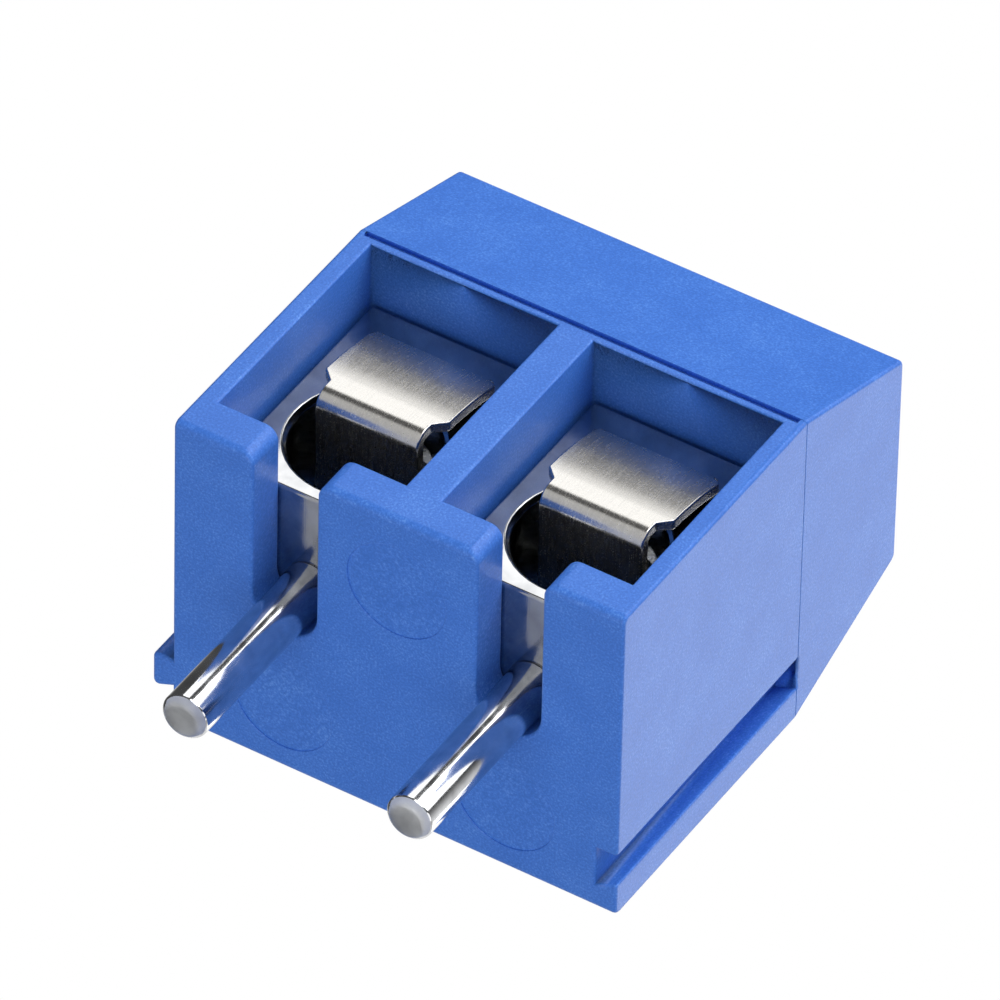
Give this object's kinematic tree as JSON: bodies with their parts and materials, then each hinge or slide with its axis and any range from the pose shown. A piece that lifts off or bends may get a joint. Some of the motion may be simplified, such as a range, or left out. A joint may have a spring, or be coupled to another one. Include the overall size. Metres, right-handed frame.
{
  "type": "pcb screw terminal",
  "caption": "Screw terminal block for circuit boards: in each pocket of a moulded housing a clamp screw drives a bent wire guard down the bore of a cage on a solder pin.",
  "frame": {"origin": "on the board, half way between the two solder pins", "axes": "+Z towards the screw heads, -Z into the board, -Y towards the wire entries, +X along the row towards the key groove"},
  "size_m": [0.0105, 0.0078, 0.0138],
  "materials": {
    "housing_plastic": "satin moulded plastic, blue, with a fine grain",
    "tinned_metal": "tin plated, bright",
    "spring_sheet": "bright stainless strip, lightly rolled",
    "screw_steel": "zinc plated steel"
  },
  "bodies": {
    "root": {"housing": "housing_plastic", "cage_left": "tinned_metal", "pin_left": "tinned_metal", "cage_right": "tinned_metal", "pin_right": "tinned_metal"},
    "guard_left": {"wire_guard_left": "spring_sheet"},
    "screw_left": {"clamp_screw_left": "screw_steel"},
    "guard_right": {"wire_guard_right": "spring_sheet"},
    "screw_right": {"clamp_screw_right": "screw_steel"}
  },
  "joints": [
    {"name": "left_screw_turn", "type": "hinge", "parent": "guard_left", "child": "screw_left", "pos_m": [-0.0025, 0, 0.006], "axis": [0, 0, 1], "range_deg": [-720, 480]},
    {"name": "left_guard_travel", "type": "slide", "parent": "root", "child": "guard_left", "axis": [0, 0, 1], "range_m": [-0.0009, 0.0006]},
    {"name": "right_screw_turn", "type": "hinge", "parent": "guard_right", "child": "screw_right", "pos_m": [0.0025, 0, 0.006], "axis": [0, 0, 1], "range_deg": [-720, 480]},
    {"name": "right_guard_travel", "type": "slide", "parent": "root", "child": "guard_right", "axis": [0, 0, 1], "range_m": [-0.0009, 0.0006]}
  ],
  "couplings": [
    {"joint": "left_screw_turn", "follows": "left_guard_travel", "rad_per_m": 13963},
    {"joint": "right_screw_turn", "follows": "right_guard_travel", "rad_per_m": 13963}
  ]
}
